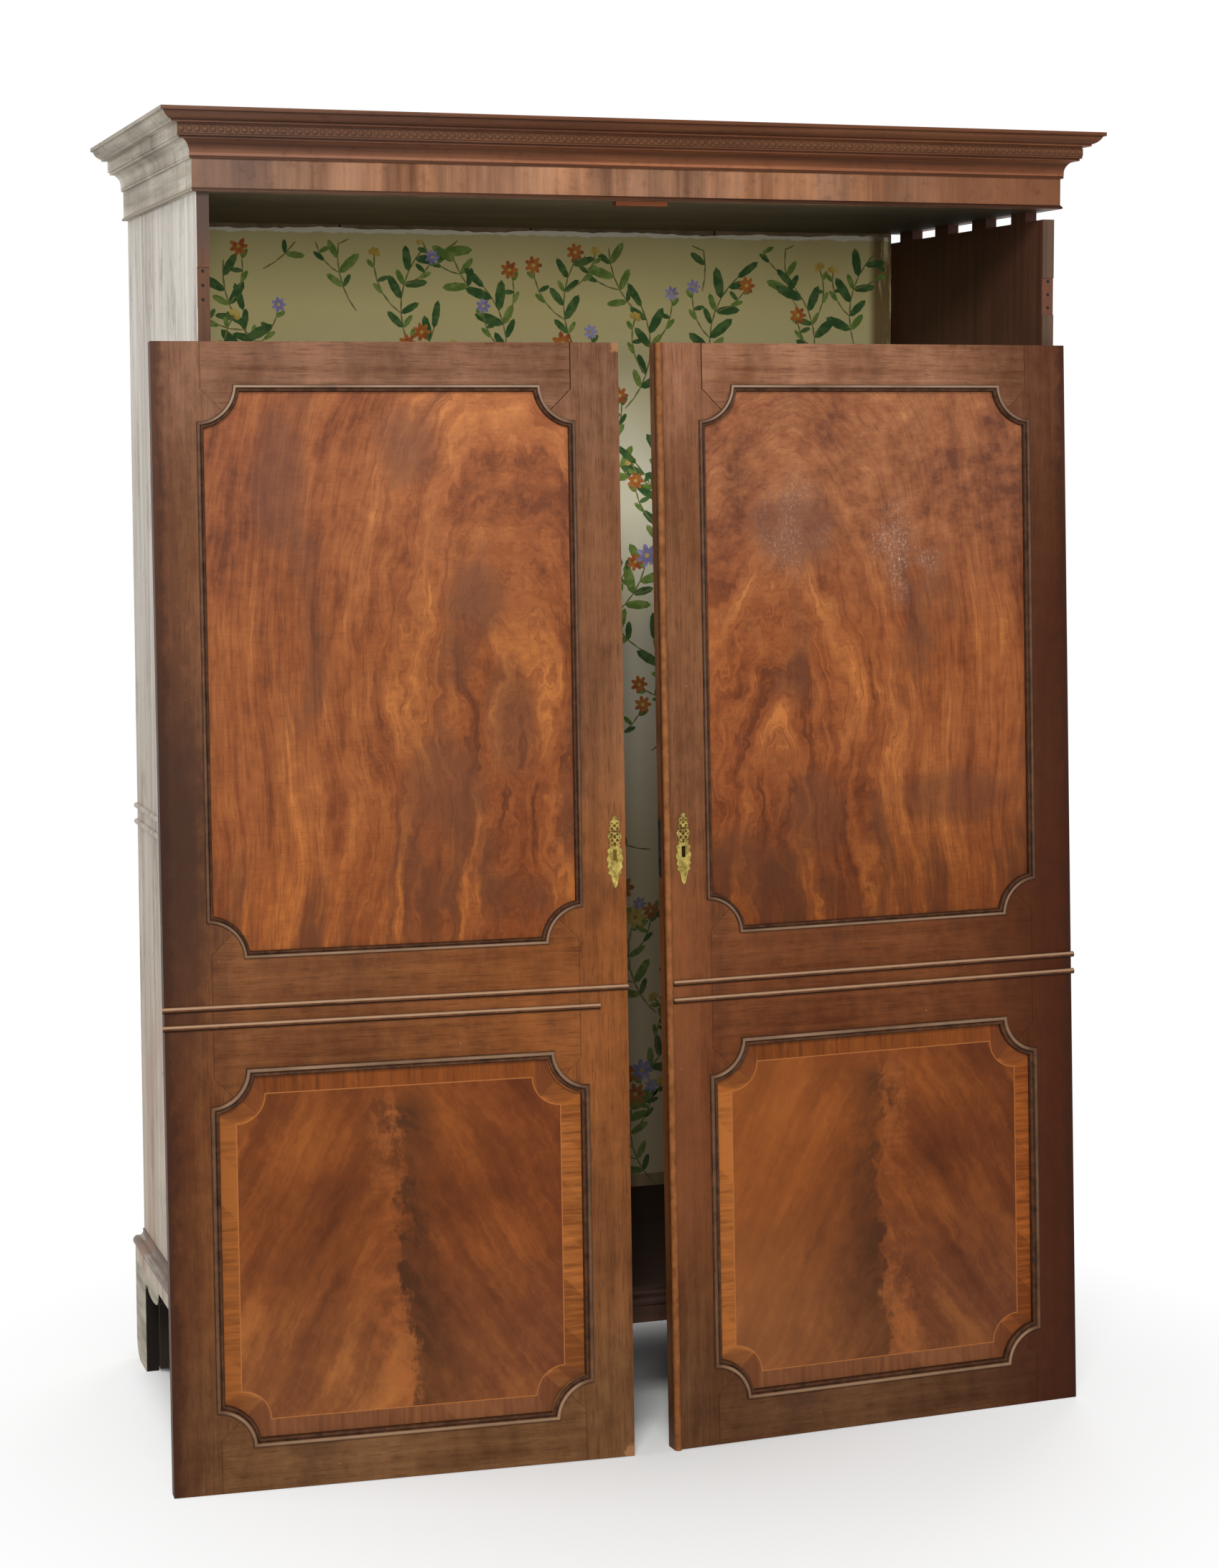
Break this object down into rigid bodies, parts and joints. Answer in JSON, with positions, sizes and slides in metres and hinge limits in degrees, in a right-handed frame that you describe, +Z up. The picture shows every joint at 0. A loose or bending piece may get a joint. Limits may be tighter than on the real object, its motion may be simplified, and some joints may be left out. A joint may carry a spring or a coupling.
{
  "type": "linen press",
  "caption": "Tall mahogany linen press with an open hanging space, bracket feet, a lift-off cornice and a pair of panelled doors off their hinges and leaning on its front.",
  "frame": {"origin": "middle of the whole object's footprint, on the floor", "axes": "+Z up, +Y towards the back, +X towards the right-hand door"},
  "size_m": [1.5786, 0.76, 2.1],
  "materials": {
    "mahogany": "polished",
    "panel_veneer": "polished",
    "dark_mahogany": "satin",
    "bleached_wood": "matte",
    "secondary_wood": "matte",
    "lining": "matte",
    "brass": "satin",
    "iron": "matte"
  },
  "bodies": {
    "carcass": {"left_side": "bleached_wood", "right_side": "dark_mahogany", "back_boards": "secondary_wood", "bottom_board": "dark_mahogany", "back_lining": "lining", "base_front_rail": "mahogany", "base_left_rail": "bleached_wood", "base_right_rail": "mahogany", "base_back_rail": "secondary_wood", "base_moulding": "mahogany", "front_left_foot": "bleached_wood", "front_right_foot": "mahogany", "rear_left_foot": "bleached_wood", "rear_right_foot": "mahogany", "foot_blocks": "secondary_wood", "side_waist_beads": "mahogany"},
    "cornice": {"frieze_front": "mahogany", "frieze_left": "bleached_wood", "frieze_right": "mahogany", "crown_front": "mahogany", "crown_left": "bleached_wood", "crown_right": "mahogany", "frieze_bead": "mahogany", "crown_bead_row": "mahogany", "cornice_back_rail": "secondary_wood", "cornice_soffit": "secondary_wood", "stop_block": "mahogany"},
    "left_hinge": {"left_carcass_leaves": "brass"},
    "left_door": {"left_bottom_rail": "mahogany", "left_middle_rail": "mahogany", "left_top_rail": "mahogany", "left_hinge_stile": "mahogany", "left_meeting_stile": "mahogany", "left_lower_panel": "panel_veneer", "left_lower_moulding": "mahogany", "left_upper_panel": "panel_veneer", "left_upper_moulding": "mahogany", "left_door_leaves": "brass", "left_hinge_pins": "brass", "left_waist_beads": "mahogany", "left_escutcheon": "brass"},
    "right_hinge": {"right_carcass_leaves": "brass"},
    "right_door": {"right_bottom_rail": "mahogany", "right_middle_rail": "mahogany", "right_top_rail": "mahogany", "right_hinge_stile": "mahogany", "right_meeting_stile": "mahogany", "right_lower_panel": "panel_veneer", "right_lower_moulding": "mahogany", "right_upper_panel": "panel_veneer", "right_upper_moulding": "mahogany", "right_door_leaves": "brass", "right_hinge_pins": "brass", "right_waist_beads": "mahogany", "right_escutcheon": "brass", "right_meeting_bead": "mahogany", "right_lock_case": "iron"},
    "lock_bolt": {"right_lock_bolt": "iron"}
  },
  "joints": [
    {"name": "cornice_lift", "type": "slide", "parent": "carcass", "child": "cornice", "axis": [0, 0, 1], "range_m": [0, 0.15]},
    {"name": "left_door_lift", "type": "slide", "parent": "carcass", "child": "left_hinge", "axis": [0, 0, 1], "range_m": [0, 0.2]},
    {"name": "left_door_swing", "type": "hinge", "parent": "left_hinge", "child": "left_door", "pos_m": [-0.78005, -0.27403, 0.87653], "axis": [-0.0024, -0.0458, -0.9989], "range_deg": [0, 100]},
    {"name": "right_door_lift", "type": "slide", "parent": "carcass", "child": "right_hinge", "axis": [0, 0, 1], "range_m": [0, 0.2]},
    {"name": "right_door_swing", "type": "hinge", "parent": "right_hinge", "child": "right_door", "pos_m": [0.72989, -0.27487, 0.87666], "axis": [-0.0022, 0.0426, 0.9991], "range_deg": [0, 100]},
    {"name": "lock_bolt_slide", "type": "slide", "parent": "right_door", "child": "lock_bolt", "axis": [-0.9987, -0.0506, 0], "range_m": [0, 0.012]}
  ]
}
